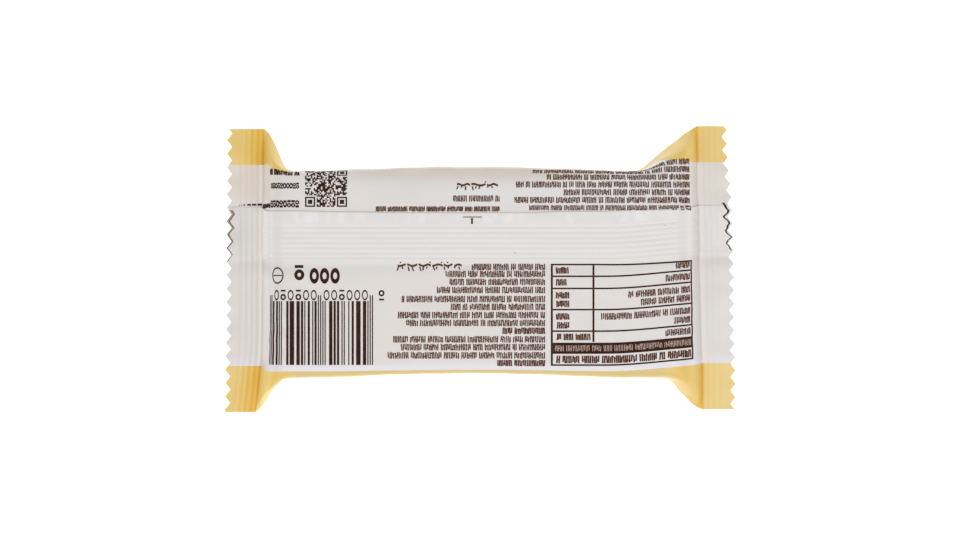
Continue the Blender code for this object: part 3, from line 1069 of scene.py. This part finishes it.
def content_rows(ink):
    draw = random.Random(21)
    bm = bmesh.new()
    for number, (left, v) in enumerate(CONTENT_ROWS):
        weight = POST_STROKE_BOLD if number in CONTENT_HEADINGS else POST_STROKE
        words(bm, draw, left, CONTENT_RIGHT, v, CONTENT_TALL, weight)
    flowing_line(bm, draw, *CONTENT_FLOWING)
    return printed("content_rows", bm, ink)


# Table of values: ruled lines, as heights on the film, with one dark band
TABLE_LEFT = 20.9
TABLE_RIGHT = 63.0
TABLE_DIVIDER = 33.1
TABLE_LINES = (3.1, -0.34, -3.9, -10.1, -16.4)
TABLE_BAND = (-23.05, -19.8)
TABLE_FOOT = -26.35
TABLE_LINE = 0.46
TABLE_UPRIGHT = 0.58
# The top line sinks by this much on its way to the right end
TABLE_SAG = 0.75
# Print in the table: its height, and how far in from the table's sides it starts and ends
HEADING_TALL = 2.2
HEADING_INSET = (1.0, 0.9)
BAND_PRINT_TALL = 1.75
BAND_PRINT_INSET = 0.9
VALUE_TALL = 1.9
VALUE_INSET = 1.2
LABEL_TALL = 1.95
LABEL_INSET = 1.0
# Rows of it, as (height on the film, length of the value, length of the label)
TABLE_PRINT = (
    (1.4, 4.0, 5.0), (-2.1, 3.4, 8.2), (-5.9, 4.2, 19.0), (-8.4, 4.2, 15.0), (-12.1, 4.2, 27.0),
    (-14.7, 4.2, 5.4), (-18.1, 10.4, 8.0),
)


def value_table(ink):
    bm = bmesh.new()
    half = TABLE_LINE / 2.0
    for v in (*TABLE_LINES, TABLE_FOOT):
        line = block(bm, TABLE_LEFT, TABLE_RIGHT, v - half, v + half)
        if v == TABLE_LINES[0]:
            for vert in line:
                vert.co.y -= TABLE_SAG * float(ease(vert.co.x, TABLE_DIVIDER, TABLE_RIGHT))
    clear = half + INK_GAP
    levels = sorted((*TABLE_LINES, TABLE_FOOT))
    for low, high in zip(levels, levels[1:]):
        block(bm, TABLE_LEFT, TABLE_LEFT + TABLE_UPRIGHT, low + clear, high - clear)
        high -= TABLE_SAG if high == TABLE_LINES[0] else 0.0
        block(bm, TABLE_RIGHT - TABLE_UPRIGHT, TABLE_RIGHT, low + clear, high - clear)
    levels = sorted((TABLE_BAND[1], *TABLE_LINES))
    for low, high in zip(levels, levels[1:]):
        block(bm, TABLE_DIVIDER, TABLE_DIVIDER + TABLE_UPRIGHT, low + clear, high - clear)
    inside = TABLE_UPRIGHT + INK_GAP
    block(bm, TABLE_LEFT + inside, TABLE_RIGHT - inside, *TABLE_BAND)
    return printed("value_table", bm, ink)


def table_rows(ink):
    """The print in the table's cells."""
    draw = random.Random(25)
    bm = bmesh.new()
    middle = (TABLE_BAND[0] + TABLE_FOOT) / 2.0
    left = TABLE_LEFT + HEADING_INSET[0]
    words(bm, draw, left, TABLE_RIGHT - HEADING_INSET[1], middle, HEADING_TALL, POST_STROKE_BOLD)
    left = TABLE_LEFT + VALUE_INSET
    right = TABLE_RIGHT - LABEL_INSET
    for v, value, label in TABLE_PRINT:
        words(bm, draw, left, left + value, v, VALUE_TALL, POST_STROKE_BOLD)
        words(bm, draw, right - label, right, v, LABEL_TALL)
    return printed("table_rows", bm, ink)


def band_print(ink):
    """The light print in the table's dark band."""
    draw = random.Random(27)
    bm = bmesh.new()
    left = TABLE_LEFT + BAND_PRINT_INSET
    right = TABLE_RIGHT - BAND_PRINT_INSET
    words(bm, draw, left, right, sum(TABLE_BAND) / 2.0, BAND_PRINT_TALL, POST_STROKE_LIGHT)
    return printed("band_print", bm, ink, ink_top=LIGHT_INK_TOP)


# Marks on the fin, as (left, right, foot, head): the two bars of a register mark, and two specks
FIN_MARKS = (
    (-4.8, 0.7, 16.9, 17.15), (-2.5, -1.9, 15.0, 16.7), (54.2, 54.4, 13.4, 13.6), (10.3, 10.5, 6.4, 6.6),
)


def small_marks(ink):
    """The marks on the fin, and the dark line in the left seal's cut."""
    bm = bmesh.new()
    for mark in FIN_MARKS:
        block(bm, *mark)
    cut_line(bm, -1, *LEFT_CUT_LINE)
    return printed("small_marks", bm, ink)


def cut_ink_or_shade(name, end, line, ink):
    """The ink in one end seal's cut, or a band of painted shade along the left seal's cut by the fin's
    end.
    """
    bm = bmesh.new()
    cut_line(bm, end, *line)
    return printed(name, bm, ink)


# Front: an ivory band and rows of rounded squares, like those of a bar
BAND_SIZE = (92.0, 36.0)
BAND_CORNER = 7.0
SQUARE_COUNT = (6, 2)
SQUARE_PITCH = 13.6
SQUARE_CORNER = 0.16
# Each is two outlines, as (size, line)
SQUARE_LINES = ((11.8, 0.55), (7.6, 0.35))


def front_design(ink, ivory):
    band = bmesh.new()
    rounded(band, 0.0, 0.0, *BAND_SIZE, BAND_CORNER)
    printed("front_band", band, ivory, back=False)
    squares = bmesh.new()
    across, up = SQUARE_COUNT
    for i in range(across):
        for j in range(up):
            u = SQUARE_PITCH * (i - (across - 1) / 2.0)
            v = SQUARE_PITCH * (j - (up - 1) / 2.0)
            for size, line in SQUARE_LINES:
                face = rounded(squares, u, v, size, size, size * SQUARE_CORNER)
                bmesh.ops.inset_individual(squares, faces=[face], thickness=line, use_even_offset=True)
                bmesh.ops.delete(squares, geom=[face], context="FACES")
    printed("front_squares", squares, ink, back=False)


# Studio, in metres and watts
FLOOR_HALF = 3.0
FLOOR_AT = -0.00002
FLOOR_GLOW = 0.65
SURROUND_LIGHT = 0.73
SOFTBOX_SIZE = (1.2, 0.9)
SOFTBOX_AT = (0.12, -0.4, 1.25)
SOFTBOX_POWER = 7.4


def studio():
    """A pale floor, a soft white surround and one large soft light."""
    bm = bmesh.new()
    bmesh.ops.create_grid(bm, x_segments=1, y_segments=1, size=FLOOR_HALF)
    bmesh.ops.translate(bm, vec=(0.0, 0.0, FLOOR_AT), verts=bm.verts[:])
    mesh = bpy.data.meshes.new("floor")
    bm.to_mesh(mesh)
    bm.free()
    paint = Paint("pale_floor", Roughness=0.8, Emission_Strength=FLOOR_GLOW)
    colour = paint.blend(paint.noise(400.0), (0.92, 0.92, 0.92), (0.90, 0.90, 0.90))
    mesh.materials.append(paint.finish(Base_Color=colour, Emission_Color=colour))
    floor = bpy.data.objects.new("floor", mesh)
    bpy.context.scene.collection.objects.link(floor)

    world = bpy.data.worlds.new("white_surround")
    world.use_nodes = True
    surround = world.node_tree.nodes["Background"]
    surround.inputs["Color"].default_value = (1.0, 1.0, 1.0, 1.0)
    surround.inputs["Strength"].default_value = SURROUND_LIGHT
    bpy.context.scene.world = world

    lamp = bpy.data.lights.new("softbox", "AREA")
    lamp.shape = "RECTANGLE"
    lamp.size, lamp.size_y = SOFTBOX_SIZE
    lamp.energy = SOFTBOX_POWER
    softbox = bpy.data.objects.new("softbox", lamp)
    softbox.location = SOFTBOX_AT
    softbox.rotation_euler = (-softbox.location).to_track_quat("-Z", "Y").to_euler()
    bpy.context.scene.collection.objects.link(softbox)
    bpy.context.scene.view_settings.view_transform = "Standard"


# Camera: straight down on the back of the pack, from this height above it
CAMERA_HEIGHT = 900.0
CAMERA_OFFSET = (0.147, -0.29)
LENS = 115.2
SENSOR = 36.0


def camera():
    data = bpy.data.cameras.new("camera")
    data.lens = LENS
    data.sensor_width = SENSOR
    eye = bpy.data.objects.new("camera", data)
    place = (*CAMERA_OFFSET, CAMERA_HEIGHT + BODY_THICK)
    eye.location = [distance * MM for distance in place]
    bpy.context.scene.collection.objects.link(eye)
    bpy.context.scene.camera = eye


def build():
    film_pack(yellow_film(), white_film())
    ink = brown_ink_or_shade("dark_ink", (0.030, 0.010, 0.005), (0.05, 0.018, 0.009))
    for print_piece in (bar_symbol, weight_mark, matrix_code, side_rows, value_table):
        print_piece(ink)
    cut_ink_or_shade("right_cut_line", 1, RIGHT_CUT_LINE, ink)
    fine_ink = brown_ink_or_shade("fine_ink", (0.085, 0.030, 0.013), (0.11, 0.042, 0.02))
    for print_piece in (date_rows, recipe_rows, content_rows, table_rows, small_marks):
        print_piece(fine_ink)
    # Painted shade along the left seal's cut, by the fin's end
    cut_shade_paint = brown_ink_or_shade("painted_cut_shade", (0.30, 0.235, 0.20), (0.36, 0.28, 0.24))
    cut_ink_or_shade("left_cut_shade", -1, LEFT_CUT_SHADE, cut_shade_paint)
    band_print(light_ink("beige_ink", (0.52, 0.38, 0.31), (0.49, 0.35, 0.28)))
    front_design(ink, light_ink("ivory_ink", (0.70, 0.66, 0.58), (0.69, 0.64, 0.55)))
    studio()
    camera()


build()
